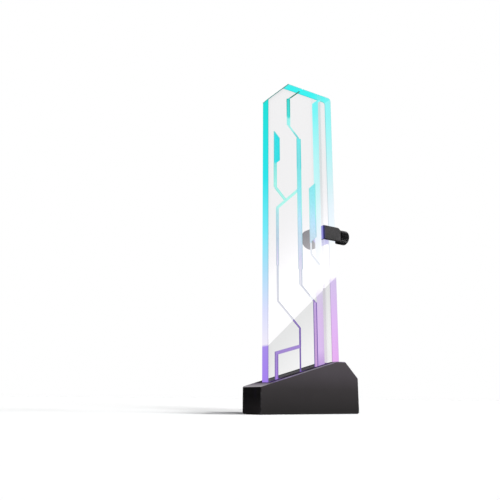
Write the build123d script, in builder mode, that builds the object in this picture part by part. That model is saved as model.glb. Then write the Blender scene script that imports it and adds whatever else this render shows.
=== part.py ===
from build123d import *
import os
from math import radians, tan

os.makedirs("parts", exist_ok=True)

# The stand faces -Y, its low end is at -X, and the origin is the middle of its underside.

# Base, with a ramp that climbs from its low end to a flat top and a cut corner
base_length = 72.0
base_depth = 20.2
low_height = 15.4
high_height = 31.0
top_flat = 6.9
corner_cut = 9.8
wall = 2.2
base_edge_break = 0.4

# Clear panel
panel_width = 53.7
panel_thickness = 6.6
panel_top = 217.1
panel_corner_cut = 16.6
panel_corner_radius = 2.2
panel_edge_break = 0.3
foot_width = 58.3
foot_height = 4.2
foot_led_gap = 0.7
panel_play = 0.1

# Long slot that leaves a rail at the panel's right edge
rail_width = 9.75
slot_width = 2.0
slot_sink = 6.0
slot_top_wall = 4.5

# Engraved lines
line_depth = 0.8
line_angle = 43.0
hair_line = 0.55
fine_line = 0.85
thin_line = 1.6
mid_line = 2.0
bold_line = 2.4
broad_line = 3.1
bar_inset = 4.95
bar_width = 4.3
bar_drop = 38.7
bar_length = 22.0
left_line_inset = 5.8
left_line_bend = 139.3
cross_line_inset = 7.3
cross_line_bend = 125.7
lower_line_bend = 65.9
corner_line_inset = 6.25
centre_line_x = -2.0
centre_line_bend = 77.9
centre_line_step = 88.0
top_line_x = -10.2
top_line_drop = 11.7
top_line_length = 19.6
right_line_x = 8.9
foot_line_x = -3.2
foot_bar_height = 39.6
right_bar_gap = 4.0
right_bar_width = 5.0
right_bar_top = 144.2
right_bar_bottom = 111.2
right_fine_x = 6.75
right_fine_bend = 98.8
right_fine_reach = 6.5

# Guides for the panel inside the base
guide_thickness = 2.0
guide_end = 1.2
guide_socket_gap = 0.8
mouth_margin = 0.6
mouth_depth = 1.2

# Bottom cover, its screws and their brass inserts
cover_thickness = 2.8
cover_gap = 0.05
cover_play = 0.1
cover_screw_inset = 4.4
boss_radius = 2.5
boss_roof = 1.0
insert_radius = 1.55
insert_sides = 12
insert_length = 5.0
cover_screw_radius = 0.95
cover_screw_head = 1.9
cover_screw_length = 7.0
cross_slot = 0.35
cross_depth = 0.5
foot_post_length = 1.9
foot_post_depth = 5.2

# Magnets and rubber pad
magnet_radius = 6.0
magnet_thickness = 2.0
magnet_spacing = 26.0
pad_inset = 0.4
pad_thickness = 0.4
pad_corner_radius = 0.8

# Light board
board_end_gap = 0.95
board_front = -4.2
board_side_gap = 1.3
board_thickness = 1.0
board_boss_height = 1.0
led_count = 8
led_end_gap = 1.45
led_side = 3.5
led_height = 1.2
led_well_side = 2.6
led_well_depth = 0.3
capacitor_length = 1.6
capacitor_width = 0.8
capacitor_height = 0.8
capacitor_y = -3.1
board_screw_end = 6.3
board_screw_edge = 2.1
board_screw_radius = 0.95
board_screw_head = 1.9
board_screw_head_height = 1.2
board_screw_skin = 0.4
board_boss_radius = 2.2
socket_x = 4.0
socket_length = 8.0
socket_panel_gap = 0.2
socket_height = 2.8
socket_wall = 0.6
pin_count = 3
pin_pitch = 2.0
pin_side = 0.5
pin_length = 2.6

# Grommet in the rear wall
grommet_x = 12.0
grommet_lift = 0.3
grommet_hole_radius = 2.4
grommet_flange_radius = 3.3
grommet_flange = 0.8
grommet_inner_flange = 0.4
grommet_bore_radius = 1.5

# Clamp that slides on the rail
clamp_centre = 115.15
clamp_height = 9.3
cheek_thickness = 1.85
slide_play = 0.12
web_thickness = 3.3
clamp_top_radius = 2.6
clamp_bottom_radius = 0.8
tongue_thickness = 0.9
tongue_notch = 0.8
clamp_edge_break = 0.3
clamp_screw_radius = 0.75
clamp_screw_head = 1.35
clamp_screw_length = 5.0
clamp_screw_offset = 3.1

# Support peg and its rubber cap
peg_inset = 6.65
flange_radius = 6.9
peg_radius = 4.6
peg_length = 10.6
sleeve_radius = 6.9
sleeve_end = 1.0
sleeve_play = 0.05
sleeve_flat = 5.6
sleeve_edge = 0.5

# Thumbscrew and its swivel tip
screw_bore = 2.0
shank_radius = 1.94
knob_gap = 0.4
knob_radius = 4.85
knob_length = 7.65
knob_collar = 0.8
knob_collar_radius = 3.9
knob_recess_radius = 3.4
knob_recess = 0.4
knob_flutes = 30
flute_depth = 0.35
knob_edge_break = 0.5
shank_in_knob = 5.5
tip_length = 1.5
tip_gap = 0.03
tip_radius = 1.85
tip_stem_radius = 0.8
tip_stem_length = 1.2
tip_stem_play = 0.06

base_end = base_length / 2
panel_end = panel_width / 2
panel_face = panel_thickness / 2
rail_start = panel_end - rail_width
slot_start = rail_start - slot_width
slot_top = panel_top - slot_top_wall
slot_bottom = high_height - slot_sink
peg_x = panel_end - peg_inset
ramp_end = base_end - corner_cut - top_flat
ramp_rise = (high_height - low_height) / (ramp_end + base_end)
trace_rise = tan(radians(line_angle))

# Heights and places inside the base, from the cover upwards
cover_top = pad_thickness + cover_thickness
cover_screw_x = base_end - cover_screw_inset
cover_screw_y = base_depth / 2 - cover_screw_inset
boss_top = low_height - boss_roof
board_bottom = cover_top + board_boss_height
board_top = board_bottom + board_thickness
board_length = foot_width - 2 * (foot_post_length + board_end_gap)
board_rear = base_depth / 2 - wall - board_side_gap
board_screw_x = board_length / 2 - board_screw_end
board_screw_y = board_rear - board_screw_edge
magnet_pocket_top = pad_thickness + magnet_thickness + cover_play
board_screw_length = board_top - magnet_pocket_top - board_screw_skin
led_pitch = (board_length - led_side - 2 * led_end_gap) / (led_count - 1)
foot_bottom = board_top + led_height + foot_led_gap
foot_top = foot_bottom + foot_height
socket_front = panel_face + socket_panel_gap
guide_bottom = board_top + socket_height + guide_socket_gap
grommet_z = cover_top + grommet_flange_radius + grommet_lift


def base_outline(bottom, drop=0.0):
    # Side view of the base from its ramp down to the given height, lowered by drop.
    return [
        (-base_end, bottom),
        (base_end, bottom),
        (base_end, high_height - corner_cut - drop),
        (base_end - corner_cut, high_height - drop),
        (ramp_end, high_height - drop),
        (-base_end, low_height - drop),
    ]


def engraved_line(points, width):
    # Corners of a band of even width that follows the points, with mitred bends.
    centres = [Vector(*point) for point in points]
    left = []
    right = []
    for index, centre in enumerate(centres):
        before = centres[max(index - 1, 0)]
        after = centres[min(index + 1, len(centres) - 1)]
        arriving = (centre - before).normalized() if index else (after - centre).normalized()
        leaving = (after - centre).normalized() if after != centre else arriving
        across = Vector(-(arriving.Y + leaving.Y), arriving.X + leaving.X).normalized()
        reach = width / 2 / across.dot(Vector(-arriving.Y, arriving.X))
        left.append(centre + across * reach)
        right.append(centre - across * reach)
    return left + right[::-1]


def sloping(x, z, run, climb=1):
    # Ends of a slanted line that starts at x, z and runs to the right.
    return [(x, z), (x + run, z + climb * run * trace_rise)]


# Base housing
with BuildPart() as base_housing:
    with BuildSketch(Plane.XZ):
        with BuildLine():
            Polyline(*base_outline(pad_thickness), close=True)
        make_face()
    extrude(amount=base_depth / 2, both=True)
    chamfer(base_housing.edges().group_by(Axis.Z)[1:], base_edge_break)
    with BuildSketch(Plane.XZ):
        with BuildLine():
            Polyline(*base_outline(pad_thickness - 2 * wall), close=True)
        make_face()
        offset(amount=-wall, kind=Kind.INTERSECTION)
    extrude(amount=base_depth / 2 - wall, both=True, mode=Mode.SUBTRACT)
    # Guide block under the ramp, with end walls that stop the panel's foot
    with BuildSketch(Plane.XZ):
        with BuildLine():
            Polyline(*base_outline(guide_bottom, base_edge_break), close=True)
        make_face()
        with Locations((0, high_height / 2)):
            Rectangle(foot_width + 2 * guide_end, 2 * high_height, mode=Mode.INTERSECT)
    extrude(amount=panel_face + panel_play + guide_thickness, both=True)
    # Bosses for the threaded inserts
    with BuildSketch(Plane.XY.offset(cover_top + cover_gap)):
        with GridLocations(2 * cover_screw_x, 2 * cover_screw_y, 2, 2):
            Circle(boss_radius)
    extrude(amount=boss_top - cover_top - cover_gap)
    with BuildSketch(Plane.XY.offset(cover_top + cover_gap)):
        with GridLocations(2 * cover_screw_x, 2 * cover_screw_y, 2, 2):
            Circle(insert_radius)
    extrude(amount=insert_length + cover_gap, mode=Mode.SUBTRACT)
    # Channel for the panel, wider below for its foot
    with BuildSketch(Plane.XZ):
        with Locations((0, high_height)):
            Rectangle(2 * (panel_end + panel_play), 2 * (high_height - foot_bottom))
        with Locations((0, foot_top + panel_play)):
            Rectangle(
                foot_width + 2 * panel_play,
                foot_height + panel_play + foot_bottom,
                align=(Align.CENTER, Align.MAX),
            )
    extrude(amount=panel_face + panel_play, both=True, mode=Mode.SUBTRACT)
    # Shallow wider mouth round the panel that follows the ramp
    with BuildSketch(Plane.XZ):
        with Locations((0, high_height)):
            Rectangle(2 * (panel_end + mouth_margin), 2 * high_height)
        with BuildLine():
            Polyline(*base_outline(-high_height, mouth_depth), close=True)
        make_face(mode=Mode.SUBTRACT)
    extrude(amount=panel_face + mouth_margin, both=True, mode=Mode.SUBTRACT)
    # Hole for the grommet in the rear wall
    with BuildSketch(Plane.XZ.offset(-base_depth / 2)):
        with Locations((grommet_x, grommet_z)):
            Circle(grommet_hole_radius)
    extrude(amount=wall, mode=Mode.SUBTRACT)
base_housing.part.label = "base_housing"
export_step(base_housing.part, "parts/base_housing.step")

# Bottom cover with its screw holes, board bosses, foot posts and magnet pockets
cover_length = base_length - 2 * (wall + cover_play)
cover_depth = base_depth - 2 * (wall + cover_play)
with BuildPart() as bottom_cover:
    with BuildSketch(Plane.XY.offset(pad_thickness)):
        Rectangle(cover_length, cover_depth)
    extrude(amount=cover_thickness)
    with BuildSketch(Plane.XY.offset(cover_top)):
        with Locations((-board_screw_x, board_screw_y), (board_screw_x, board_screw_y)):
            Circle(board_boss_radius)
    extrude(amount=board_bottom - cover_top)
    with BuildSketch(Plane.XY.offset(cover_top)):
        with GridLocations(foot_width - foot_post_length, 0, 2, 1):
            Rectangle(foot_post_length, foot_post_depth)
    extrude(amount=foot_bottom - cover_top)
    with BuildSketch(Plane.XY.offset(pad_thickness)):
        with GridLocations(magnet_spacing, 0, 2, 1):
            Circle(magnet_radius + cover_play)
    extrude(amount=magnet_pocket_top - pad_thickness, mode=Mode.SUBTRACT)
    with Locations(Plane.XY.offset(pad_thickness).rotated((180, 0, 0))):
        with GridLocations(2 * cover_screw_x, 2 * cover_screw_y, 2, 2):
            CounterSinkHole(
                cover_screw_radius + cover_play,
                cover_screw_head + cover_play,
                counter_sink_angle=90,
            )
    with Locations(
        (-board_screw_x, board_screw_y, board_bottom),
        (board_screw_x, board_screw_y, board_bottom),
    ):
        Hole(board_screw_radius, depth=board_screw_length - board_thickness)
bottom_cover.part.label = "bottom_cover"
export_step(bottom_cover.part, "parts/bottom_cover.step")

# Cover screws
with BuildPart() as cover_screws:
    with BuildSketch(Plane.XZ):
        with BuildLine():
            Polyline(
                (0, 0),
                (cover_screw_head, 0),
                (cover_screw_radius, cover_screw_head - cover_screw_radius),
                (cover_screw_radius, cover_screw_length),
                (0, cover_screw_length),
                close=True,
            )
        make_face()
    revolve(axis=Axis.Z)
    with BuildSketch(Plane.XY):
        Rectangle(2 * cover_screw_radius, cross_slot)
        Rectangle(cross_slot, 2 * cover_screw_radius)
    extrude(amount=cross_depth, mode=Mode.SUBTRACT)
cover_screw = cover_screws.part
with BuildPart() as cover_screw_set:
    with Locations((0, 0, pad_thickness + cover_gap)):
        with GridLocations(2 * cover_screw_x, 2 * cover_screw_y, 2, 2):
            add(cover_screw)
cover_screw_set.part.label = "cover_screws"
export_step(cover_screw_set.part, "parts/cover_screws.step")

# Brass inserts
with BuildPart() as boss_inserts:
    with BuildSketch(Plane.XY.offset(cover_top + 2 * cover_gap)):
        with GridLocations(2 * cover_screw_x, 2 * cover_screw_y, 2, 2):
            RegularPolygon(insert_radius, insert_sides)
            Circle(cover_screw_radius + cover_gap, mode=Mode.SUBTRACT)
    extrude(amount=insert_length - cover_gap)
boss_inserts.part.label = "boss_inserts"
export_step(boss_inserts.part, "parts/boss_inserts.step")

# Magnets
with BuildPart() as magnets:
    with BuildSketch(Plane.XY.offset(pad_thickness)):
        with GridLocations(magnet_spacing, 0, 2, 1):
            Circle(magnet_radius)
    extrude(amount=magnet_thickness)
magnets.part.label = "magnets"
export_step(magnets.part, "parts/magnets.step")

# Rubber pad under the whole base
with BuildPart() as foot_pad:
    with BuildSketch():
        RectangleRounded(base_length - 2 * pad_inset, base_depth - 2 * pad_inset, pad_corner_radius)
    extrude(amount=pad_thickness)
foot_pad.part.label = "foot_pad"
export_step(foot_pad.part, "parts/foot_pad.step")

# Light board
board_depth = board_rear - board_front
with BuildPart() as led_board:
    with BuildSketch(Plane.XY.offset(board_bottom)):
        with Locations((0, (board_rear + board_front) / 2)):
            Rectangle(board_length, board_depth)
        with Locations((-board_screw_x, board_screw_y), (board_screw_x, board_screw_y)):
            Circle(board_screw_radius + cover_gap, mode=Mode.SUBTRACT)
    extrude(amount=board_thickness)
led_board.part.label = "led_board"
export_step(led_board.part, "parts/led_board.step")

# Lights, each with a square well in its top
with BuildPart() as leds:
    with BuildSketch(Plane.XY.offset(board_top)):
        with GridLocations(led_pitch, 0, led_count, 1):
            Rectangle(led_side, led_side)
    extrude(amount=led_height)
    with BuildSketch(Plane.XY.offset(board_top + led_height - led_well_depth)):
        with GridLocations(led_pitch, 0, led_count, 1):
            Rectangle(led_well_side, led_well_side)
    extrude(amount=led_well_depth, mode=Mode.SUBTRACT)
leds.part.label = "leds"
export_step(leds.part, "parts/leds.step")

# Capacitors
with BuildPart() as capacitors:
    with BuildSketch(Plane.XY.offset(board_top)):
        with Locations((0, capacitor_y)):
            with GridLocations(led_pitch, 0, led_count, 1):
                Rectangle(capacitor_length, capacitor_width)
    extrude(amount=capacitor_height)
capacitors.part.label = "capacitors"
export_step(capacitors.part, "parts/capacitors.step")

# Socket for the lead, open towards the rear
socket_depth = board_rear - socket_front
socket_middle = board_top + socket_height / 2
with BuildPart() as board_connector:
    with BuildSketch(Plane.XY.offset(board_top)):
        with Locations((socket_x, socket_front)):
            Rectangle(socket_length, socket_depth, align=(Align.CENTER, Align.MIN))
    extrude(amount=socket_height)
    with BuildSketch(Plane.XZ.offset(-board_rear)):
        with Locations((socket_x, socket_middle)):
            Rectangle(socket_length - 2 * socket_wall, socket_height - 2 * socket_wall)
    extrude(amount=socket_depth - socket_wall, mode=Mode.SUBTRACT)
    with BuildSketch(Plane.XZ.offset(-board_rear)):
        with Locations((socket_x, socket_middle)):
            with GridLocations(pin_pitch, 0, pin_count, 1):
                Rectangle(pin_side, pin_side)
    extrude(amount=socket_depth, mode=Mode.SUBTRACT)
board_connector.part.label = "board_connector"
export_step(board_connector.part, "parts/board_connector.step")

# Pins of the socket
with BuildPart() as connector_pins:
    with BuildSketch(Plane.XZ.offset(-socket_front - pin_length)):
        with Locations((socket_x, socket_middle)):
            with GridLocations(pin_pitch, 0, pin_count, 1):
                Rectangle(pin_side, pin_side)
    extrude(amount=pin_length)
connector_pins.part.label = "connector_pins"
export_step(connector_pins.part, "parts/connector_pins.step")

# Board screws
with BuildPart() as board_screws:
    with BuildSketch(Plane.XY.offset(board_top)):
        with Locations((-board_screw_x, board_screw_y), (board_screw_x, board_screw_y)):
            Circle(board_screw_head)
    extrude(amount=board_screw_head_height)
    with BuildSketch(Plane.XY.offset(board_top)):
        with Locations((-board_screw_x, board_screw_y), (board_screw_x, board_screw_y)):
            Circle(board_screw_radius)
    extrude(amount=-board_screw_length)
board_screws.part.label = "board_screws"
export_step(board_screws.part, "parts/board_screws.step")

# Grommet, with a flange on each side of the wall
rear_face = base_depth / 2
with BuildPart() as cable_grommet:
    with BuildSketch(Plane.XZ.offset(-rear_face - grommet_flange)):
        with Locations((grommet_x, grommet_z)):
            Circle(grommet_flange_radius)
    extrude(amount=grommet_flange)
    chamfer(cable_grommet.edges().group_by(Axis.Y)[-1], grommet_inner_flange)
    with BuildSketch(Plane.XZ.offset(-rear_face)):
        with Locations((grommet_x, grommet_z)):
            Circle(grommet_hole_radius)
    extrude(amount=wall)
    with BuildSketch(Plane.XZ.offset(-rear_face + wall)):
        with Locations((grommet_x, grommet_z)):
            Circle(grommet_flange_radius - cover_play)
    extrude(amount=grommet_inner_flange)
    with BuildSketch(Plane.XZ.offset(-rear_face - grommet_flange)):
        with Locations((grommet_x, grommet_z)):
            Circle(grommet_bore_radius)
    extrude(amount=2 * wall + 2 * grommet_flange, mode=Mode.SUBTRACT)
cable_grommet.part.label = "cable_grommet"
export_step(cable_grommet.part, "parts/cable_grommet.step")

# Clear panel
with BuildPart() as light_panel:
    with BuildSketch(Plane.XZ):
        with BuildLine():
            Polyline(
                (-foot_width / 2, foot_bottom),
                (foot_width / 2, foot_bottom),
                (foot_width / 2, foot_top),
                (panel_end, foot_top),
                (panel_end, panel_top),
                (-panel_end + panel_corner_cut, panel_top),
                (-panel_end, panel_top - panel_corner_cut),
                (-panel_end, foot_top),
                (-foot_width / 2, foot_top),
                close=True,
            )
        make_face()
    extrude(amount=panel_face, both=True)
    fillet(
        light_panel.edges().filter_by(Axis.Y).group_by(Axis.Z)[-1].sort_by(Axis.X)[-1],
        panel_corner_radius,
    )
    chamfer(light_panel.faces().filter_by(Axis.Y).edges(), panel_edge_break)
    with BuildSketch(Plane.XZ):
        with Locations((slot_start, slot_bottom)):
            Rectangle(slot_width, slot_top - slot_bottom, align=(Align.MIN, Align.MIN))
    extrude(amount=panel_face, both=True, mode=Mode.SUBTRACT)
    # Circuit lines cut into the front
    left_line_x = -panel_end + left_line_inset
    cross_line_x = -panel_end + cross_line_inset
    corner_line_x = -panel_end + corner_line_inset
    top_line_start = panel_top - top_line_drop
    top_line_bend = top_line_start - top_line_length
    bar_top = panel_top - bar_drop
    bar_left = -panel_end + bar_inset
    bar_right = bar_left + bar_width
    right_bar_right = slot_start - right_bar_gap
    right_bar_left = right_bar_right - right_bar_width
    corner_line_top = foot_bar_height - (foot_line_x - corner_line_x) * ramp_rise
    lines = [
        (sloping(top_line_x, top_line_start, (panel_top - top_line_start) / trace_rise), fine_line),
        ([(top_line_x, top_line_start), (top_line_x, top_line_bend)], bold_line),
        (sloping(top_line_x, top_line_bend, centre_line_x - top_line_x, -1), fine_line),
        (
            [
                (centre_line_x, top_line_bend - (centre_line_x - top_line_x) * trace_rise),
                (centre_line_x, centre_line_step),
            ],
            broad_line,
        ),
        ([(centre_line_x, centre_line_step), (centre_line_x, centre_line_bend)], mid_line),
        (sloping(centre_line_x, centre_line_bend, right_line_x - centre_line_x, -1), fine_line),
        (
            [
                (right_line_x, centre_line_bend - (right_line_x - centre_line_x) * trace_rise),
                (right_line_x, foot_top),
            ],
            bold_line,
        ),
        ([(left_line_x, bar_top - bar_length), (left_line_x, left_line_bend)], mid_line),
        (
            sloping(
                left_line_x,
                left_line_bend,
                (cross_line_x - left_line_x + (left_line_bend - cross_line_bend) / trace_rise) / 2,
                -1,
            ),
            thin_line,
        ),
        (sloping(cross_line_x, cross_line_bend, centre_line_x - cross_line_x), thin_line),
        ([(cross_line_x, cross_line_bend), (cross_line_x, centre_line_step)], thin_line),
        (
            [
                (cross_line_x, centre_line_step),
                (cross_line_x, lower_line_bend),
                sloping(cross_line_x, lower_line_bend, foot_line_x - cross_line_x, -1)[1],
            ],
            fine_line,
        ),
        (
            [
                sloping(cross_line_x, lower_line_bend, foot_line_x - cross_line_x, -1)[1],
                (foot_line_x, foot_bar_height),
            ],
            fine_line,
        ),
        ([(foot_line_x, foot_bar_height), (foot_line_x, foot_top)], hair_line),
        (
            [
                (foot_line_x, foot_bar_height),
                (corner_line_x, corner_line_top),
                (corner_line_x, foot_top),
            ],
            mid_line,
        ),
        ([(right_fine_x, right_bar_bottom), (right_fine_x, right_fine_bend)], fine_line),
        (sloping(right_fine_x, right_fine_bend, right_fine_reach, -1), fine_line),
    ]
    bars = [
        [
            (bar_left, bar_top - bar_length),
            (bar_left, bar_top),
            (bar_right, bar_top - bar_width * trace_rise),
            (bar_right, bar_top - bar_length + (bar_width - mid_line) * trace_rise),
            (bar_left + mid_line, bar_top - bar_length),
        ],
        [
            (right_bar_left, right_bar_bottom - right_bar_width * trace_rise),
            (right_bar_left, right_bar_top),
            (right_bar_right, right_bar_top + right_bar_width * trace_rise),
            (right_bar_right, right_bar_bottom),
            (right_bar_left + fine_line, right_bar_bottom - (right_bar_width - fine_line) * trace_rise),
        ],
    ]
    with BuildSketch(Plane.XZ.offset(panel_face)):
        for points, width in lines:
            with BuildLine():
                Polyline(*engraved_line(points, width), close=True)
            make_face()
        for corners in bars:
            with BuildLine():
                Polyline(*corners, close=True)
            make_face()
    extrude(amount=-line_depth, mode=Mode.SUBTRACT)
light_panel.part.label = "light_panel"
export_step(light_panel.part, "parts/light_panel.step")

# Front half of the clamp: cheek, web past the panel's edge and tongue in the slot
clamp_bottom = clamp_centre - clamp_height / 2
clamp_inner = panel_face + slide_play
clamp_outer = clamp_inner + cheek_thickness
web_start = panel_end + slide_play
clamp_end = web_start + web_thickness
web_middle = web_start + web_thickness / 2
tongue_start = rail_start - slide_play - tongue_thickness
with BuildPart() as slider_body:
    with BuildSketch(Plane.XY.offset(clamp_bottom)):
        with Locations((tongue_start, -clamp_outer)):
            Rectangle(clamp_end - tongue_start, cheek_thickness, align=(Align.MIN, Align.MIN))
        with Locations((web_start, -clamp_outer)):
            Rectangle(web_thickness, clamp_outer + clamp_inner, align=(Align.MIN, Align.MIN))
        with Locations((tongue_start, -clamp_outer)):
            Rectangle(
                tongue_thickness, clamp_outer + clamp_inner + tongue_notch, align=(Align.MIN, Align.MIN)
            )
    extrude(amount=clamp_height)
    top_corner = slider_body.faces().sort_by(Axis.X)[-1].edges().sort_by(Axis.Z)[-1]
    fillet(top_corner, clamp_top_radius)
    bottom_corner = slider_body.faces().sort_by(Axis.X)[-1].edges().sort_by(Axis.Z)[0]
    fillet(bottom_corner, clamp_bottom_radius)
    chamfer(slider_body.faces().sort_by(Axis.Y)[0].edges(), clamp_edge_break)
    with BuildSketch(Plane.YZ.offset(web_start)):
        with Locations((0, clamp_centre)):
            Circle(screw_bore)
    extrude(amount=web_thickness, mode=Mode.SUBTRACT)
    with BuildSketch(Plane.XZ.offset(-clamp_inner)):
        with Locations((web_middle, clamp_centre)):
            with GridLocations(0, 2 * clamp_screw_offset, 1, 2):
                Circle(clamp_screw_radius + cover_gap)
    extrude(amount=clamp_screw_length - cheek_thickness + cover_play, mode=Mode.SUBTRACT)
slider_body.part.label = "slider_body"
export_step(slider_body.part, "parts/slider_body.step")

# Rear half of the clamp: flange with a round peg
with BuildPart() as support_arm:
    with BuildSketch(Plane.XZ.offset(-clamp_outer)) as flange:
        with Locations((peg_x, clamp_bottom)):
            Rectangle(clamp_end - peg_x, clamp_height, align=(Align.MIN, Align.MIN))
        fillet(flange.vertices().group_by(Axis.X)[-1].sort_by(Axis.Y)[-1], clamp_top_radius)
        fillet(flange.vertices().group_by(Axis.X)[-1].sort_by(Axis.Y)[0], clamp_bottom_radius)
        with Locations((peg_x, clamp_centre)):
            Circle(flange_radius)
    extrude(amount=cheek_thickness)
    chamfer(support_arm.faces().sort_by(Axis.Y)[-1].edges(), clamp_edge_break)
    with BuildSketch(Plane.XZ.offset(-clamp_outer)):
        with Locations((peg_x, clamp_centre)):
            Circle(peg_radius)
    extrude(amount=-peg_length)
    chamfer(support_arm.faces().sort_by(Axis.Y)[-1].edges(), clamp_edge_break)
    with BuildSketch(Plane.XZ.offset(-clamp_inner)):
        with Locations((tongue_start + tongue_thickness / 2, clamp_centre)):
            Rectangle(tongue_thickness + 2 * cover_gap, clamp_height + 2 * cover_gap)
    extrude(amount=-tongue_notch - cover_gap, mode=Mode.SUBTRACT)
    with Locations(Plane.back.offset(clamp_outer)):
        with Locations((-web_middle, clamp_centre)):
            with GridLocations(0, 2 * clamp_screw_offset, 1, 2):
                CounterSinkHole(
                    clamp_screw_radius + cover_gap, clamp_screw_head + cover_gap, counter_sink_angle=90
                )
support_arm.part.label = "support_arm"
export_step(support_arm.part, "parts/support_arm.step")

# Rubber cap on the peg, flat on top
peg_end = clamp_outer + peg_length
sleeve_tip = peg_end + sleeve_play + sleeve_end
with BuildPart() as arm_sleeve:
    with BuildSketch(Plane.XZ.offset(-sleeve_tip)):
        with Locations((peg_x, clamp_centre)):
            Circle(sleeve_radius)
        with Locations((peg_x, clamp_centre + sleeve_flat)):
            Rectangle(2 * sleeve_radius, sleeve_radius, align=(Align.CENTER, Align.MIN), mode=Mode.SUBTRACT)
    extrude(amount=sleeve_tip - clamp_outer)
    chamfer(arm_sleeve.faces().sort_by(Axis.Y)[-1].edges(), sleeve_edge)
    with BuildSketch(Plane.XZ.offset(-clamp_outer)):
        with Locations((peg_x, clamp_centre)):
            Circle(peg_radius + sleeve_play)
    extrude(amount=-peg_length - sleeve_play, mode=Mode.SUBTRACT)
arm_sleeve.part.label = "arm_sleeve"
export_step(arm_sleeve.part, "parts/arm_sleeve.step")

# Screws that hold the clamp's halves together
with BuildPart() as clamp_screw:
    with BuildSketch(Plane.XZ):
        with BuildLine():
            Polyline(
                (0, 0),
                (clamp_screw_head, 0),
                (clamp_screw_radius, clamp_screw_radius - clamp_screw_head),
                (clamp_screw_radius, -clamp_screw_length),
                (0, -clamp_screw_length),
                close=True,
            )
        make_face()
    revolve(axis=Axis.Z)
    with BuildSketch(Plane.XY):
        Rectangle(2 * clamp_screw_radius, cross_slot)
        Rectangle(cross_slot, 2 * clamp_screw_radius)
    extrude(amount=-cross_depth, mode=Mode.SUBTRACT)
rear_screw = clamp_screw.part.rotate(Axis.X, -90)
with BuildPart() as clamp_screws:
    with Locations((web_middle, clamp_outer, clamp_centre)):
        with Locations((0, 0, -clamp_screw_offset), (0, 0, clamp_screw_offset)):
            add(rear_screw)
clamp_screws.part.label = "clamp_screws"
export_step(clamp_screws.part, "parts/clamp_screws.step")

# Plastic tip that turns in the end of the thumbscrew and presses on the panel's edge
tip_start = panel_end + tip_gap
tip_end = tip_start + tip_length
with BuildPart() as pressure_tip:
    with BuildSketch(Plane.YZ.offset(tip_start)):
        with Locations((0, clamp_centre)):
            Circle(tip_radius)
    extrude(amount=tip_length)
    chamfer(pressure_tip.faces().sort_by(Axis.X)[0].edges(), clamp_edge_break)
    with BuildSketch(Plane.YZ.offset(tip_end)):
        with Locations((0, clamp_centre)):
            Circle(tip_stem_radius)
    extrude(amount=tip_stem_length)
pressure_tip.part.label = "pressure_tip"
export_step(pressure_tip.part, "parts/pressure_tip.step")

# Threaded stud of the thumbscrew
knob_start = clamp_end + knob_gap
shank_start = tip_end + tip_gap
shank_end = knob_start + shank_in_knob
with BuildPart() as thumbscrew_shank:
    with BuildSketch(Plane.YZ.offset(shank_start)):
        with Locations((0, clamp_centre)):
            Circle(shank_radius)
    extrude(amount=shank_end - shank_start)
    with BuildSketch(Plane.YZ.offset(shank_start)):
        with Locations((0, clamp_centre)):
            Circle(tip_stem_radius + tip_stem_play)
    extrude(amount=tip_stem_length + tip_stem_play, mode=Mode.SUBTRACT)
thumbscrew_shank.part.label = "thumbscrew_shank"
export_step(thumbscrew_shank.part, "parts/thumbscrew_shank.step")

# Knurled knob
knob_end = knob_start + knob_length
with BuildPart() as thumbscrew_knob:
    with BuildSketch(Plane.YZ.offset(knob_start + knob_collar)):
        with Locations((0, clamp_centre)):
            Circle(knob_radius)
    extrude(amount=knob_length - knob_collar)
    chamfer(thumbscrew_knob.edges().filter_by(GeomType.CIRCLE), knob_edge_break)
    with BuildSketch(Plane.YZ.offset(knob_start)):
        with Locations((0, clamp_centre)):
            with PolarLocations(knob_radius, knob_flutes):
                Rectangle(2 * flute_depth, 2 * flute_depth, rotation=45)
    extrude(amount=knob_length, mode=Mode.SUBTRACT)
    with BuildSketch(Plane.YZ.offset(knob_start)):
        with Locations((0, clamp_centre)):
            Circle(knob_collar_radius)
    extrude(amount=knob_collar)
    with BuildSketch(Plane.YZ.offset(knob_end)):
        with Locations((0, clamp_centre)):
            Circle(knob_recess_radius)
    extrude(amount=-knob_recess, mode=Mode.SUBTRACT)
    with BuildSketch(Plane.YZ.offset(knob_start)):
        with Locations((0, clamp_centre)):
            Circle(shank_radius + tip_gap)
    extrude(amount=shank_in_knob + tip_gap, mode=Mode.SUBTRACT)
thumbscrew_knob.part.label = "thumbscrew_knob"
export_step(thumbscrew_knob.part, "parts/thumbscrew_knob.step")
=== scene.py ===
import math

import bmesh
import bpy
from mathutils import Matrix, Vector

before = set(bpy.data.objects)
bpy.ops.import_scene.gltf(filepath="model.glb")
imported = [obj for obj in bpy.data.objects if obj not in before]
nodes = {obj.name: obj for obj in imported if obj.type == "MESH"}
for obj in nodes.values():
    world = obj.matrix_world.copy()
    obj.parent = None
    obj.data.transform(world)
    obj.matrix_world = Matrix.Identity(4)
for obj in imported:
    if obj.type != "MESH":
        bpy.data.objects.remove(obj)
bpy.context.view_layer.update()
print("frame loaded:", len(nodes), "nodes")


def linear(colour):
    # Colour of 0 to 255 as the photo shows it, in the values that shaders take.
    parts = [value / 255 for value in colour]
    return tuple(
        part / 12.92 if part <= 0.04045 else ((part + 0.055) / 1.055) ** 2.4 for part in parts
    ) + (1.0,)


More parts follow.
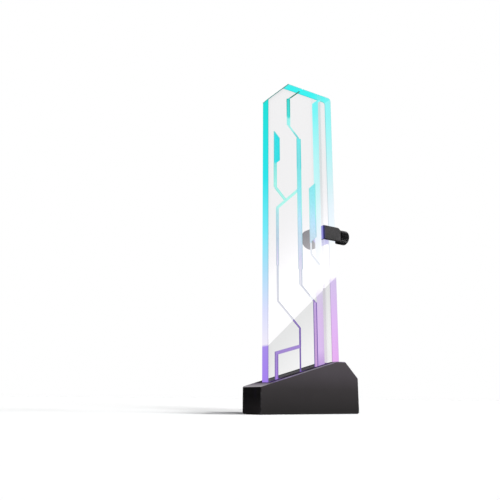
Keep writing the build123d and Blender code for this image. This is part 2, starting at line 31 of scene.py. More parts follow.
class Signal:
    # An output socket that takes part in sums.
    def __init__(self, recipe, socket):
        self.recipe = recipe
        self.socket = socket

    def maths(self, operation, *values):
        return self.recipe.node(
            "ShaderNodeMath", {"operation": operation}, dict(enumerate(values))
        )

    def __add__(self, other):
        return self.maths("ADD", self, other)

    def __radd__(self, other):
        return self.maths("ADD", other, self)

    def __sub__(self, other):
        return self.maths("SUBTRACT", self, other)

    def __rsub__(self, other):
        return self.maths("SUBTRACT", other, self)

    def __mul__(self, other):
        return self.maths("MULTIPLY", self, other)

    def __rmul__(self, other):
        return self.maths("MULTIPLY", other, self)

    def __truediv__(self, other):
        return self.maths("DIVIDE", self, other)

    def __rtruediv__(self, other):
        return self.maths("DIVIDE", other, self)

    def __mod__(self, other):
        return self.maths("FLOORED_MODULO", self, other)

    def __neg__(self):
        return self.maths("MULTIPLY", self, -1.0)

    def __abs__(self):
        return self.maths("ABSOLUTE", self)

    def above(self, limit):
        return self.maths("GREATER_THAN", self, limit)

    def below(self, limit):
        return self.maths("LESS_THAN", self, limit)

    def least(self, other):
        return self.maths("MINIMUM", self, other)

    def most(self, other):
        return self.maths("MAXIMUM", self, other)

    def rise(self, low, high, smooth=True):
        # 0 at low and 1 at high, also where low is the larger.
        return self.recipe.node(
            "ShaderNodeMapRange",
            {"interpolation_type": "SMOOTHSTEP" if smooth else "LINEAR", "clamp": True},
            {"Value": self, "From Min": low, "From Max": high},
        )

    def fade(self, reach):
        # 1 at zero, falling to 1/e at reach.
        return self.maths("EXPONENT", -(abs(self) / reach))

    def palette(self, stops):
        # Colours at places along this value, with even blends between them.
        low, high = stops[0][0], stops[-1][0]
        points = [((place - low) / (high - low), linear(colour)) for place, colour in stops]
        along = self.rise(low, high, smooth=False)
        return self.recipe.node("ShaderNodeValToRGB", {"stops": points}, {0: along})


# Detail and contrast of the noises that the finishes use.
details = {"soft": 2.0, "plain": 3.0, "crisp": 4.0, "falloff": 0.55}
bands = {
    "cloud": (0.3, 0.7), "tarnish": (0.35, 0.7), "scuff": (0.4, 0.7), "rimHighlight": (0.42, 0.62),
    "smear": (0.35, 0.75), "speck": (0.35, 0.65),
}


class Recipe:
    # The nodes of one material or world.
    def __init__(self, owner):
        self.owner = owner
        self.owner.use_nodes = True
        self.tree = self.owner.node_tree
        self.tree.nodes.clear()

    def node(self, kind, settings=None, inputs=None, output=0):
        made = self.tree.nodes.new(kind)
        for name, value in (settings or {}).items():
            if name == "stops":
                ramp = made.color_ramp
                while len(ramp.elements) < len(value):
                    ramp.elements.new(0.5)
                for element, (place, colour) in zip(ramp.elements, value):
                    element.position = place
                    element.color = colour
            else:
                setattr(made, name, value)
        for name, value in (inputs or {}).items():
            if isinstance(value, Signal):
                self.tree.links.new(value.socket, made.inputs[name])
            else:
                made.inputs[name].default_value = value
        if not made.outputs:
            return self.owner  # the closing node gives back the finished material or world
        return Signal(self, made.outputs[output])

    def place(self):
        # Position in the object's frame, in millimetres.
        position = self.node("ShaderNodeTexCoord", None, None, "Object")
        return self.scaled(position, 1000)

    def split(self, vector):
        parts = self.node("ShaderNodeSeparateXYZ", None, {0: vector})
        sockets = parts.socket.node.outputs
        return [Signal(self, socket) for socket in sockets]

    def facing(self):
        return self.split(self.node("ShaderNodeTexCoord", None, None, "Normal"))

    def rays(self, kind):
        # 1 for rays of this kind, such as those from the camera, and 0 for others.
        return self.node("ShaderNodeLightPath", None, None, kind)

    def noise(self, place, scale, detail="plain"):
        return self.node(
            "ShaderNodeTexNoise",
            None,
            {
                "Vector": place,
                "Scale": scale,
                "Detail": details[detail],
                "Roughness": details["falloff"],
            },
        )

    def patches(self, place, scale, band, detail="plain"):
        # Noise with its contrast raised: 0 up to the band's first value, 1 from its second.
        return self.noise(place, scale, detail).rise(*bands[band])

    def stretch(self, place, factors):
        return self.node(
            "ShaderNodeVectorMath", {"operation": "MULTIPLY"}, {0: place, 1: factors}
        )

    def mix(self, factor, first, second):
        return self.node(
            "ShaderNodeMix", {"data_type": "RGBA"}, {"Factor": factor, 6: first, 7: second}, 2
        )

    def blend(self, factor, first, second):
        # As mix, but of two numbers.
        return self.node("ShaderNodeMix", None, {"Factor": factor, "A": first, "B": second})

    def scaled(self, vector, factor):
        # A colour or a place, all its parts times the factor.
        if not isinstance(vector, Signal):
            vector = vector[:3]
        return self.node(
            "ShaderNodeVectorMath", {"operation": "SCALE"}, {0: vector, "Scale": factor}
        )

    def bump(self, height, distance, strength=1.0):
        return self.node(
            "ShaderNodeBump",
            None,
            {"Height": height, "Distance": distance, "Strength": strength},
        )

    def finish(self, inputs):
        shader = self.node("ShaderNodeBsdfPrincipled", None, inputs)
        return self.node("ShaderNodeOutputMaterial", None, {"Surface": shader})


panel = {
    "halfWidth": 26.85,
    "top": 217.1,
    "cutFoot": 200.5,
    "slotMiddle": 16.1,
    "slotHalf": 1.0,
    "slotTop": 212.6,
    "flatFacing": 0.9,
    "sideFacing": 0.5,
    "underFace": 3.0,  # a flat part nearer to the middle than this is a groove's floor
    "wallsFrom": -2.45,  # and its walls are in front of this
    "edgeReach": 0.75,
    "wallReach": 0.2,
    "windowGap": 0.5,
    "outlineReach": 0.4,
    "outlineFrom": 20,
    "bend": 160,  # over this height the middle line lies further left
    "midUnderBend": -3.7,
    "midOverBend": -15,
    "rightFrom": 5,
    "faintBelow": 106.6,
    "mouthOfLine": 214.8,
    # Painted sheen: a white reflection painted on the faces above a slanting line, with painted
    # grey shade under it.
    "sheenHeight": 62.55,
    "sheenSlope": 0.8917,
    "sheenReach": 95.0,
    "sheenAlpha": 0.16,
    "paintedShadeReach": 40.0,
    "paintedShadeAlpha": 0.1,
    "lowAlpha": 0.07,
    "glassAlpha": 0.1,
    "glassTint": (92, 88, 93),
    "sheenTint": (250, 250, 252),
    "lowTintAndShade": (84, 86, 86),
    "glow": 0.25,
    "glowReach": 0.9,
    "bevelShade": 0.3,
    "outline": [
        (15, (165, 120, 215)),
        (84, (178, 142, 222)),
        (88, (192, 196, 206)),
        (120, (150, 190, 205)),
        (170, (86, 182, 188)),
        (205, (46, 140, 130)),
        (217.1, (34, 108, 98)),
    ],
    "mottleScale": 1.3,
    "mottle": 0.12,
    "mottleDepth": 0.00004,
    "smearScale": 0.06,
    "smear": 0.05,
    "frost": 0.15,
    "roughness": 0.3,
    "specular": 0.03,
    "refraction": 1.49,
    "litBase": 0.01,
    "clearToLight": 0.85,  # the lit panel hardly shades the floor
    "leftStrip": [
        (10, (165, 125, 240)),
        (38.7, (168, 142, 235)),
        (39.1, (241, 236, 250)),
        (60, (219, 224, 253)),
        (85, (174, 225, 250)),
        (110, (119, 234, 249)),
        (145, (45, 230, 236)),
        (205, (33, 224, 214)),
    ],
    "rightStrip": [
        (20, (240, 172, 246)),
        (60, (232, 191, 253)),
        (84, (224, 202, 250)),
        (87, (250, 249, 253)),
        (100, (248, 249, 252)),
        (115, (236, 246, 254)),
        (135, (230, 247, 255)),
        (150, (216, 249, 253)),
        (170, (192, 252, 255)),
        (190, (162, 255, 255)),
        (205, (146, 255, 255)),
    ],
    "slotStrip": [
        (20, (190, 154, 218)),
        (30, (198, 162, 226)),
        (38, (224, 192, 245)),
        (60, (228, 197, 247)),
        (73, (224, 210, 242)),
        (78, (242, 242, 248)),
        (90, (253, 253, 255)),
        (110, (234, 243, 252)),
        (130, (220, 253, 255)),
        (150, (196, 254, 255)),
        (170, (182, 255, 255)),
        (190, (150, 255, 255)),
        (205, (112, 255, 255)),
    ],
    "topStrip": [
        (-10, (8, 248, 244)),
        (12, (8, 252, 250)),
        (20, (66, 254, 250)),
        (26, (108, 254, 250)),
    ],
    "leftLine": [
        (70, (236, 236, 242)),
        (85, (228, 226, 240)),
        (95, (215, 210, 240)),
        (105, (186, 206, 226)),
        (122, (176, 226, 236)),
        (127, (178, 248, 238)),
        (140, (170, 248, 236)),
        (155.8, (132, 232, 226)),
        (156.6, (36, 224, 230)),
        (190, (25, 222, 228)),
        (217, (30, 205, 200)),
    ],
    "midLine": [
        (70, (236, 236, 242)),
        (85, (228, 226, 240)),
        (95, (214, 214, 240)),
        (110, (198, 224, 240)),
        (120, (188, 228, 252)),
        (135, (152, 232, 244)),
        (150, (128, 230, 236)),
        (165, (120, 224, 230)),
        (182, (104, 238, 238)),
        (183, (150, 246, 240)),
        (191, (150, 246, 240)),
        (192, (62, 226, 218)),
        (207, (50, 216, 206)),
        (207.6, (66, 138, 120)),
        (217, (60, 134, 118)),
    ],
    "faintLine": (228, 233, 240),
    "lowerLine": [(15, (172, 125, 228)), (30, (162, 135, 210)), (80, (160, 138, 206))],
    "railLine": [(15, (196, 152, 220)), (30, (200, 160, 214)), (80, (192, 166, 226))],
    "upperWall": [
        (70, (190, 194, 206)),
        (110, (172, 204, 220)),
        (122, (164, 226, 230)),
        (127, (168, 244, 234)),
        (155, (128, 228, 222)),
        (158, (60, 206, 208)),
        (181, (120, 220, 218)),
        (183, (168, 246, 239)),
        (191, (168, 246, 239)),
        (193, (40, 196, 186)),
        (217, (40, 130, 116)),
    ],
    "lowerWall": (118, 92, 170),
}


def clearPanel(values):
    # Clear sheet whose edges and engraved lines carry the light from its foot, with a painted white
    # sheen and painted grey shade on its faces.
    recipe = Recipe(bpy.data.materials.new("litAcrylic"))
    place = recipe.place()
    x, y, z = recipe.split(place)
    turnX, turnY, turnZ = recipe.facing()
    flat = abs(turnY).above(values["flatFacing"])
    side = abs(turnY).below(values["sideFacing"])
    bevel = 1 - flat - side
    front = y.below(0)
    sheen = z - (values["sheenHeight"] + values["sheenSlope"] * x)
    lower = sheen.below(0)

    # How near a point is to an outer edge or to the slot.
    toEnds = values["halfWidth"] - abs(x)
    toTop = values["top"] - z
    toCut = (x + values["halfWidth"] - z + values["cutFoot"]) / math.sqrt(2)
    toSlot = abs(abs(x - values["slotMiddle"]) - values["slotHalf"])
    toSlotEnd = abs(z - values["slotTop"]).most(abs(x - values["slotMiddle"]) - values["slotHalf"])
    nearest = toEnds.least(toTop).least(toCut).least(toSlot).least(toSlotEnd)
    atEdge = nearest.below(values["edgeReach"])
    grooveFloor = flat * abs(y).below(values["underFace"])
    grooveWall = side * y.below(values["wallsFrom"]) * (1 - atEdge)
    inGroove = grooveFloor.most(grooveWall)
    farWall = abs(x - values["slotMiddle"] - values["slotHalf"]).below(values["wallReach"])
    window = side * farWall * z.below(values["slotTop"] - values["windowGap"])

    # Colours of the lit edges, from the foot to the top; their pale stops just above the slanting
    # sheen line are painted sheen.
    leftStrip = z.palette(values["leftStrip"])
    rightStrip = z.palette(values["rightStrip"])
    slotStrip = z.palette(values["slotStrip"])
    topStrip = x.palette(values["topStrip"])
    strips = recipe.mix(x.above(0), leftStrip, rightStrip)
    strips = recipe.mix(x.above(0) * x.below(values["slotMiddle"]), strips, slotStrip)
    strips = recipe.mix(toTop.below(values["edgeReach"]), strips, topStrip)
    strips = recipe.scaled(strips, 1 - bevel * values["bevelShade"])
    rightEnd = x.above(values["outlineFrom"]) * toEnds.below(values["outlineReach"])
    outline = toTop.below(values["outlineReach"]).most(rightEnd) * bevel * front
    outline = outline.most(toCut.below(values["outlineReach"]))
    strips = recipe.mix(outline, strips, z.palette(values["outline"]))

    # Engraved lines: clear colours above the sheen, purple below it; their pale stops just above
    # the sheen line are painted sheen.
    shift = z.below(values["bend"]) * (values["midUnderBend"] - values["midOverBend"])
    middle = x.above(shift + values["midOverBend"])
    rightSide = x.above(values["rightFrom"])
    upperLine = recipe.mix(middle, z.palette(values["leftLine"]), z.palette(values["midLine"]))
    lowerLine = recipe.mix(rightSide, z.palette(values["lowerLine"]), z.palette(values["railLine"]))
    lines = recipe.mix(lower, upperLine, lowerLine)
    mottle = recipe.patches(place, values["mottleScale"], "cloud", "soft")
    lines = recipe.scaled(lines, 1 - values["mottle"] * mottle)
    wallColour = recipe.mix(lower, z.palette(values["upperWall"]), linear(values["lowerWall"]))
    lines = recipe.mix(grooveWall, lines, wallColour)
    # Painted sheen: the lines low on the right are whitened.
    faint = rightSide * z.below(values["faintBelow"]) * (1 - lower)
    lines = recipe.mix(faint, lines, linear(values["faintLine"]))

    # Faces: a painted white sheen, a painted reflection, over the slanting line and painted light
    # grey shade under it.
    sheenShare = sheen.rise(values["sheenReach"], 0) * (1 - lower)
    paintedShadeShare = sheen.rise(-values["paintedShadeReach"], 0) * lower
    faceAlpha = values["glassAlpha"] * (1 - lower) + sheenShare * values["sheenAlpha"]
    faceAlpha = faceAlpha + lower * (values["lowAlpha"] + paintedShadeShare * values["paintedShadeAlpha"])
    edgeGlow = nearest.fade(values["glowReach"]) * values["glow"]
    face = recipe.mix(lower, linear(values["glassTint"]), linear(values["lowTintAndShade"]))
    sheenGlow = recipe.scaled(linear(values["sheenTint"]), sheenShare)

    lit = (side + bevel).least(1) * atEdge * (1 - window)
    solid = lit.most(inGroove)
    lines = recipe.mix(z.above(values["mouthOfLine"]), lines, topStrip)
    glowing = recipe.mix(inGroove, strips, lines)
    # The painted sheen and the glow along the edges, on the clear faces.
    sheenAndEdgeGlow = recipe.mix(edgeGlow, sheenGlow, strips)
    glowing = recipe.mix(solid, sheenAndEdgeGlow, glowing)
    alpha = solid.most(faceAlpha + edgeGlow).least(1.0)
    alpha = alpha * (1 - recipe.rays("Is Shadow Ray") * values["clearToLight"])
    base = recipe.mix(solid, face, recipe.scaled(glowing, values["litBase"]))
    smear = recipe.patches(place, values["smearScale"], "smear", "crisp")
    rough = values["roughness"] + smear * values["smear"] + inGroove * values["frost"]
    return recipe.finish({
        "Base Color": base,
        "Alpha": alpha,
        "Emission Color": glowing,
        "Emission Strength": 1.0,
        "Roughness": rough,
        "IOR": values["refraction"],
        "Specular IOR Level": values["specular"],
        "Normal": recipe.bump(mottle * inGroove, values["mottleDepth"]),
    })


housing = {
    "paintedHeightShade": [(0, (18, 17, 17)), (14, (28, 26, 27)), (24, (40, 37, 40)), (31, (43, 40, 42))],
    "cloudScale": 0.05,
    "cloud": 0.04,
    "rimHighlightScale": 0.5,
    "rimHighlight": 0.1,
    "rimHighlightColour": (130, 128, 134),
    "grainScale": 3.2,
    "grainDepth": 0.00006,
    "grainStrength": 0.6,
    "scuffScale": 0.25,
    "scuff": 0.12,
    "roughness": 0.46,
    "specular": 0.015,
    "feet": [-26.3, -20.6, -3.2, 8.9, 14.8, 26.3],
    "footReach": 1.8,
    "glowStart": -3.6,
    "glowEnd": -6.5,
    "glowLip": 0.6,
    "rimFrom": -8.2,
    "endFrom": -28.2,
    "topFacing": 0.5,
    "endFacing": -0.8,
    "rimFacing": 0.3,
    "flatFacing": 0.95,
    "topPaintedShade": (20, 19, 20),
    "endPaintedLight": [(0, (84, 80, 82)), (6, (62, 59, 60)), (10, (48, 46, 47)), (16, (50, 48, 49))],
    "paintedSpillLight": [
        (-36, (156, 152, 157)),
        (-29, (92, 84, 98)),
        (-27, (96, 80, 124)),
        (-18, (120, 108, 138)),
        (0, (114, 110, 120)),
        (26, (118, 104, 132)),
    ],
    "glowFloor": 9.0,
    "glowColour": (150, 100, 235),
    "glow": 0.75,
}


def housingFinish(values):
    # Moulded black plastic with a fine grain, with painted shade, a painted highlight on its rims,
    # painted light on its left end and the ramp's top, and a painted purple glow round the foot of
    # the panel.
    recipe = Recipe(bpy.data.materials.new("mouldedHousing"))
    place = recipe.place()
    x, y, z = recipe.split(place)
    turnX, turnY, turnZ = recipe.facing()
    # Painted shade: darker towards the bottom.
    shade = z.palette(values["paintedHeightShade"])
    cloud = recipe.patches(place, values["cloudScale"], "cloud")
    shade = recipe.scaled(shade, 1 - values["cloud"] + values["cloud"] * 2 * cloud)
    upward = turnZ.above(values["topFacing"])
    # Painted shade on the ramp's top.
    shade = recipe.mix(upward, shade, linear(values["topPaintedShade"]))
    # Painted light on the left end, lighter towards the floor.
    shade = recipe.mix(turnX.below(values["endFacing"]), shade, z.palette(values["endPaintedLight"]))
    # Painted highlight, in patches, on the rounded rims.
    rim = abs(turnY).above(values["rimFacing"]) * abs(turnY).below(values["flatFacing"])
    rimHighlights = rim * recipe.patches(place, values["rimHighlightScale"], "rimHighlight", "crisp")
    shade = recipe.mix(rimHighlights * values["rimHighlight"], shade, linear(values["rimHighlightColour"]))
    grain = recipe.noise(place, values["grainScale"], "soft")
    # Painted purple glow round the foot of each lit edge.
    feet = 0
    for foot in values["feet"]:
        feet = (x - foot).fade(values["footReach"]) + feet
    near = y.rise(values["glowEnd"], values["glowStart"])
    near = near * y.below(values["glowStart"] + values["glowLip"])
    outer = y.below(values["rimFrom"]).most(x.below(values["endFrom"]))
    high = z.above(values["glowFloor"])
    ramp = upward * high * outer
    glow = feet * near * high * values["glow"]
    # Painted spill light of the panel on the ramp's top, paler at the left end.
    paintedSpillLight = recipe.scaled(x.palette(values["paintedSpillLight"]), ramp)
    paintedSpillLight = recipe.mix(glow.least(1), paintedSpillLight, linear(values["glowColour"]))
    scuff = recipe.patches(place, values["scuffScale"], "scuff", "crisp")
    return recipe.finish({
        "Base Color": shade,
        "Roughness": values["roughness"] + scuff * values["scuff"],
        "Specular IOR Level": values["specular"],
        "Emission Color": paintedSpillLight,
        "Emission Strength": 1.0,
        "Normal": recipe.bump(grain, values["grainDepth"], values["grainStrength"]),
    })


moulding = {"scuffStretch": (1.0, 1.0, 0.2), "endFacing": -0.4}  # for all the moulded pieces
cheek = {
    "dark": (28, 28, 28), "pale": (35, 34, 35), "cloudScale": 0.2, "grainScale": 4.0,
    "grainDepth": 0.00004, "scuffScale": 0.6, "scuff": 0.1, "roughness": 0.5, "specular": 0.02,
    "rimEnd": 16.8, "rimFront": -4.6,
    "endGlow": [
        (-5.3, (22, 20, 78)), (-4.5, (26, 24, 92)), (-4.2, (96, 94, 176)), (-3.3, (146, 142, 214)),
    ],
}
arm = {
    "dark": (34, 33, 38), "pale": (44, 43, 48), "cloudScale": 0.2, "grainScale": 4.0,
    "grainDepth": 0.00004, "scuffScale": 0.6, "scuff": 0.1, "roughness": 0.5, "specular": 0.3,
    "litFrom": 2.9, "litReach": 5.0, "litColour": (140, 138, 225),
}
sleeve = {
    "dark": (26, 26, 29), "pale": (38, 38, 41), "cloudScale": 0.3, "grainScale": 2.5,
    "grainDepth": 0.00006, "scuffScale": 0.5, "scuff": 0.12, "roughness": 0.72, "specular": 0.2,
}
knob = {
    "dark": (5, 5, 6), "pale": (9, 9, 10), "cloudScale": 0.4, "grainScale": 5.0,
    "grainDepth": 0.00003, "scuffScale": 0.8, "scuff": 0.12, "roughness": 0.4, "specular": 0.1,
}
cover = {
    "dark": (34, 33, 36), "pale": (44, 43, 46), "cloudScale": 0.1, "grainScale": 2.2,
    "grainDepth": 0.00008, "scuffScale": 0.2, "scuff": 0.12, "roughness": 0.55, "specular": 0.3,
}
pad = {
    "dark": (24, 24, 26), "pale": (34, 34, 36), "cloudScale": 0.15, "grainScale": 1.6,
    "grainDepth": 0.00008, "scuffScale": 0.3, "scuff": 0.1, "roughness": 0.8, "specular": 0.2,
}
grommet = {
    "dark": (20, 20, 22), "pale": (30, 30, 33), "cloudScale": 0.4, "grainScale": 3.0,
    "grainDepth": 0.00004, "scuffScale": 0.6, "scuff": 0.1, "roughness": 0.68, "specular": 0.25,
}
socket = {
    "dark": (222, 216, 200), "pale": (238, 234, 222), "cloudScale": 0.4, "grainScale": 5.0,
    "grainDepth": 0.00002, "scuffScale": 0.8, "scuff": 0.1, "roughness": 0.42, "specular": 0.4,
}
tip = {
    "dark": (214, 210, 198), "pale": (232, 229, 218), "cloudScale": 0.6, "grainScale": 6.0,
    "grainDepth": 0.00002, "scuffScale": 1.2, "scuff": 0.14, "roughness": 0.4, "specular": 0.4,
}


def mouldedFinish(name, values):
    # Plain plastic or rubber: clouds of two tones, a fine grain and scuffs, and the panel's light
    # painted on the arm behind it and on the cheek's end beside it.
    recipe = Recipe(bpy.data.materials.new(name))
    place = recipe.place()
    x, y, z = recipe.split(place)
    lit = linear((0, 0, 0))
    # Painted light of the panel on the arm behind it.
    if "litFrom" in values:
        behind = y.above(values["litFrom"]) * (y - values["litFrom"]).fade(values["litReach"])
        lit = recipe.scaled(linear(values["litColour"]), behind)
    # Painted light of the panel on the cheek's end and rim.
    if "endGlow" in values:
        turnX, turnY, turnZ = recipe.facing()
        rim = x.below(values["rimEnd"]) * y.below(values["rimFront"])
        end = turnX.below(moulding["endFacing"]).most(rim)
        lit = recipe.mix(end, lit, y.palette(values["endGlow"]))
    cloud = recipe.patches(place, values["cloudScale"], "cloud")
    shade = recipe.mix(cloud, linear(values["dark"]), linear(values["pale"]))
    grain = recipe.noise(place, values["grainScale"], "soft")
    drawn = recipe.stretch(place, moulding["scuffStretch"])
    scuff = recipe.patches(drawn, values["scuffScale"], "scuff", "crisp")
    return recipe.finish({
        "Base Color": shade,
        "Roughness": values["roughness"] + scuff * values["scuff"],
        "Specular IOR Level": values["specular"],
        "Emission Color": lit,
        "Emission Strength": 1.0,
        "Normal": recipe.bump(grain, values["grainDepth"]),
    })


coverScrews = {
    "bright": (58, 58, 62), "dull": (34, 33, 36), "tarnishScale": 0.7, "lines": (1, 1, 6),
    "lineScale": 3.0, "lineDepth": 0.00001, "roughness": 0.34, "spread": 0.14,
}
clampScrews = {
    "bright": (64, 64, 68), "dull": (38, 37, 40), "tarnishScale": 1.2, "lines": (1, 6, 1),
    "lineScale": 3.0, "lineDepth": 0.00001, "roughness": 0.32, "spread": 0.12,
}
boardScrews = {
    "bright": (214, 216, 222), "dull": (176, 180, 184), "tarnishScale": 0.8, "lines": (1, 1, 6),
    "lineScale": 3.0, "lineDepth": 0.00001, "roughness": 0.26, "spread": 0.16,
}
shank = {
    "bright": (212, 214, 220), "dull": (170, 174, 178), "tarnishScale": 0.8, "lines": (9, 1, 1),
    "lineScale": 2.0, "lineDepth": 0.00002, "roughness": 0.24, "spread": 0.16,
}
inserts = {
    "bright": (226, 190, 112), "dull": (176, 138, 74), "tarnishScale": 0.6, "lines": (1, 1, 8),
    "lineScale": 2.0, "lineDepth": 0.00002, "roughness": 0.3, "spread": 0.2,
}
magnets = {
    "bright": (226, 226, 228), "dull": (190, 190, 194), "tarnishScale": 0.3, "lines": (1, 1, 3),
    "lineScale": 1.2, "lineDepth": 0.000005, "roughness": 0.14, "spread": 0.12,
}
pins = {
    "bright": (230, 206, 140), "dull": (190, 160, 96), "tarnishScale": 0.9, "lines": (1, 1, 0.3),
    "lineScale": 6.0, "lineDepth": 0.000005, "roughness": 0.22, "spread": 0.12,
}


def metalFinish(name, values):
    # Plated or turned metal: fine lines from the tool, and a little tarnish.
    recipe = Recipe(bpy.data.materials.new(name))
    place = recipe.place()
    tarnish = recipe.patches(place, values["tarnishScale"], "tarnish", "crisp")
    shade = recipe.mix(tarnish, linear(values["bright"]), linear(values["dull"]))
    tool = recipe.noise(recipe.stretch(place, values["lines"]), values["lineScale"])
    return recipe.finish({
        "Base Color": shade,
        "Metallic": 1.0,
        "Roughness": values["roughness"] + tarnish * values["spread"],
        "Normal": recipe.bump(tool, values["lineDepth"]),
    })


board = {
    "mask": (18, 84, 52), "copperUnder": (30, 112, 66), "tin": (206, 206, 200), "pitch": 6.6,
    "trackPitch": 1.6, "trackHalf": 0.3, "padHalf": 0.55, "padRow": -3.1, "weaveScale": 1.4,
    "weaveFrom": 0.85, "weave": 0.3, "roughness": 0.32, "spread": 0.1, "trackHeight": 0.00003,
    "padRise": 0.5,
}


def boardFinish(values):
    # Solder mask over copper tracks, with bare pads at a regular pitch.
    recipe = Recipe(bpy.data.materials.new("solderMask"))
    place = recipe.place()
    x, y, z = recipe.split(place)
    along = (x % values["pitch"]) - values["pitch"] / 2
    across = (y % values["trackPitch"]) - values["trackPitch"] / 2
    track = abs(across).below(values["trackHalf"])
    pad = abs(along).below(values["padHalf"]) * abs(y - values["padRow"]).below(values["padHalf"])
    weave = recipe.noise(place, values["weaveScale"], "soft")
    mask = recipe.mix(track, linear(values["mask"]), linear(values["copperUnder"]))
    woven = recipe.scaled(mask, values["weaveFrom"] + weave * values["weave"])
    shade = recipe.mix(pad, woven, linear(values["tin"]))
    return recipe.finish({
        "Base Color": shade,
        "Metallic": pad,
        "Roughness": values["roughness"] + weave * values["spread"],
        "Normal": recipe.bump(track + pad * values["padRise"], values["trackHeight"]),
    })


lamps = {
    "package": (236, 234, 226), "resin": (236, 214, 120), "light": (190, 150, 255),
    "strength": 2.0, "topFacing": 0.9, "wellTop": 6.25, "cloudScale": 1.2, "cloudFrom": 0.92,
    "cloud": 0.16, "roughness": 0.35, "spread": 0.1,
}


def lampFinish(values):
    # White package with a glowing resin well in the middle of its top.
    recipe = Recipe(bpy.data.materials.new("lampPackage"))
    place = recipe.place()
    x, y, z = recipe.split(place)
    turnX, turnY, turnZ = recipe.facing()
    cloud = recipe.noise(place, values["cloudScale"], "soft")
    well = turnZ.above(values["topFacing"]) * z.below(values["wellTop"])
    shade = recipe.mix(well, linear(values["package"]), linear(values["resin"]))
    return recipe.finish({
        "Base Color": recipe.scaled(shade, values["cloudFrom"] + cloud * values["cloud"]),
        "Roughness": values["roughness"] + cloud * values["spread"],
        "Emission Color": recipe.scaled(linear(values["light"]), well),
        "Emission Strength": values["strength"],
    })


chips = {
    "dark": (128, 96, 66), "pale": (156, 120, 84), "tin": (206, 206, 202),
    "pitch": 6.6, "bodyHalf": 0.45, "speckScale": 2.5, "speckDepth": 0.00001,
    "roughness": 0.4, "spread": 0.1,
}


def capacitorFinish(values):
    # Ceramic body with tinned ends.
    recipe = Recipe(bpy.data.materials.new("ceramicChips"))
    place = recipe.place()
    x, y, z = recipe.split(place)
    along = (x % values["pitch"]) - values["pitch"] / 2
    end = abs(along).above(values["bodyHalf"])
    speck = recipe.noise(place, values["speckScale"])
    tone = speck.rise(*bands["speck"])
    body = recipe.mix(tone, linear(values["dark"]), linear(values["pale"]))
    return recipe.finish({
        "Base Color": recipe.mix(end, body, linear(values["tin"])),
        "Metallic": end,
        "Roughness": values["roughness"] + speck * values["spread"],
        "Normal": recipe.bump(speck, values["speckDepth"]),
    })


finishes = {
    "light_panel": clearPanel(panel),
    "base_housing": housingFinish(housing),
    "slider_body": mouldedFinish("clampCheek", cheek),
    "support_arm": mouldedFinish("clampArm", arm),
    "arm_sleeve": mouldedFinish("armRubber", sleeve),
    "thumbscrew_knob": mouldedFinish("knobPlastic", knob),
    "bottom_cover": mouldedFinish("coverPlastic", cover),
    "foot_pad": mouldedFinish("padRubber", pad),
    "cable_grommet": mouldedFinish("grommetRubber", grommet),
    "board_connector": mouldedFinish("socketNylon", socket),
    "pressure_tip": mouldedFinish("tipNylon", tip),
    "cover_screws": metalFinish("coverScrewSteel", coverScrews),
    "clamp_screws": metalFinish("clampScrewSteel", clampScrews),
    "board_screws": metalFinish("boardScrewZinc", boardScrews),
    "thumbscrew_shank": metalFinish("shankZinc", shank),
    "boss_inserts": metalFinish("insertBrass", inserts),
    "magnets": metalFinish("magnetNickel", magnets),
    "connector_pins": metalFinish("pinBrass", pins),
    "led_board": boardFinish(board),
    "leds": lampFinish(lamps),
    "capacitors": capacitorFinish(chips),
}
for name, material in finishes.items():
    for slot in nodes[name].material_slots:
        slot.material = material
print("materials:", len(finishes))

floor = {
    "halfSide": 4.0, "squares": 8, "shade": (250, 250, 250), "bounce": (140, 140, 142),
    "lift": (255, 255, 255), "liftStrength": 0.03, "speckScale": 0.2, "speck": 0.02,
}


def floorFinish(values):
    # White to the camera wherever light falls, with the object's shadow kept.
    recipe = Recipe(bpy.data.materials.new("studioFloor"))
    place = recipe.place()
    seen = recipe.rays("Is Camera Ray")
    speck = recipe.noise(place, values["speckScale"], "soft")
    shade = recipe.mix(seen, linear(values["bounce"]), linear(values["shade"]))
    return recipe.finish({
        "Base Color": recipe.scaled(shade, 1 - speck * values["speck"]),
        "Roughness": 1.0,
        "Specular IOR Level": 0.0,
        "Emission Color": recipe.scaled(linear(values["lift"]), seen),
        "Emission Strength": values["liftStrength"],
    })


floorShape = bmesh.new()
bmesh.ops.create_grid(
    floorShape, x_segments=floor["squares"], y_segments=floor["squares"], size=floor["halfSide"]
)
floorMesh = bpy.data.meshes.new("studioFloor")
floorShape.to_mesh(floorMesh)
floorShape.free()
floorMesh.materials.append(floorFinish(floor))
floorPiece = bpy.data.objects.new("studioFloor", floorMesh)
bpy.context.scene.collection.objects.link(floorPiece)
print("floor made")

light = {
    "keyFrom": (0.76, -0.60, 0.41), "keyStrength": 5.2, "keyAngle": 22.0,
    "frontFrom": (0.05, -1.0, 0.10), "frontStrength": 7.5, "frontAngle": 15.0,
    "topFrom": (0.3, 0.2, 1.0), "topStrength": 0.28, "topAngle": 60.0,
    "seen": 1.0, "mirrored": 0.12, "scattered": 0.07,
}


def sun(name, origin, strength, angle):
    # Lamp whose light comes from the given direction.
    lamp = bpy.data.lights.new(name, "SUN")
    lamp.energy = strength
    lamp.angle = math.radians(angle)
    made = bpy.data.objects.new(name, lamp)
    made.rotation_mode = "QUATERNION"
    made.rotation_quaternion = Vector(origin).to_track_quat("Z", "Y")
    made.location = Vector(origin)
    bpy.context.scene.collection.objects.link(made)


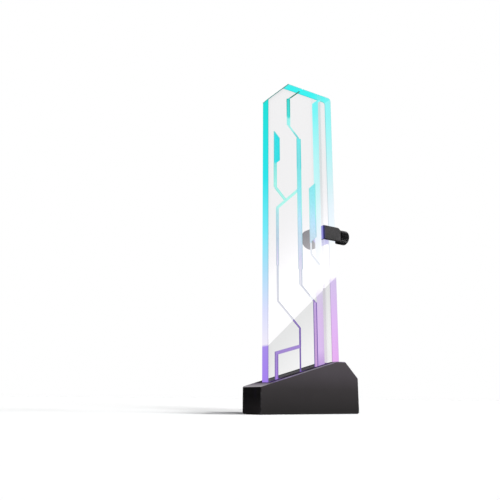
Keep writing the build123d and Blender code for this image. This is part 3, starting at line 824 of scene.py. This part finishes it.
sun("keyLight", light["keyFrom"], light["keyStrength"], light["keyAngle"])
sun("frontLight", light["frontFrom"], light["frontStrength"], light["frontAngle"])
sun("topLight", light["topFrom"], light["topStrength"], light["topAngle"])


def surroundings(values):
    # White to the camera, dimmer in reflections, and dimmest as light on the object.
    recipe = Recipe(bpy.data.worlds.new("studio"))
    seen = recipe.rays("Is Camera Ray")
    mirrored = recipe.rays("Is Glossy Ray").most(recipe.rays("Is Transmission Ray"))
    unseen = recipe.blend(mirrored, values["scattered"], values["mirrored"])
    strength = recipe.blend(seen, unseen, values["seen"])
    background = recipe.node(
        "ShaderNodeBackground", None, {"Color": linear((255, 255, 255)), "Strength": strength}
    )
    return recipe.node("ShaderNodeOutputWorld", None, {"Surface": background})


bpy.context.scene.world = surroundings(light)
print("lights made")

view = {
    "position": (-205.2, -276.55, 9.3), "turn": 31.19, "tilt": 14.985, "roll": 0.519,
    "focalPixels": 550.3, "imagePixels": 500, "sensor": 36.0,
    "near": 0.01, "far": 50,
}
turn = math.radians(view["turn"])
tilt = math.radians(view["tilt"])
roll = math.radians(view["roll"])
ahead = Vector((math.sin(turn), math.cos(turn), 0))
right = Vector((math.cos(turn), -math.sin(turn), 0))
up = Vector((0, 0, 1))
look = ahead * math.cos(tilt) + up * math.sin(tilt)
above = up * math.cos(tilt) - ahead * math.sin(tilt)
sideways = right * math.cos(roll) + above * math.sin(roll)
upwards = above * math.cos(roll) - right * math.sin(roll)
cameraData = bpy.data.cameras.new("photoCamera")
cameraData.sensor_width = view["sensor"]
cameraData.lens = view["sensor"] * view["focalPixels"] / view["imagePixels"]
cameraData.clip_start = view["near"]
cameraData.clip_end = view["far"]
camera = bpy.data.objects.new("photoCamera", cameraData)
stance = Matrix((sideways, upwards, -look)).transposed().to_4x4()
stance.translation = Vector(view["position"]) / 1000
camera.matrix_world = stance
bpy.context.scene.collection.objects.link(camera)
bpy.context.scene.camera = camera
bpy.context.scene.view_settings.view_transform = "Standard"
print("camera made")
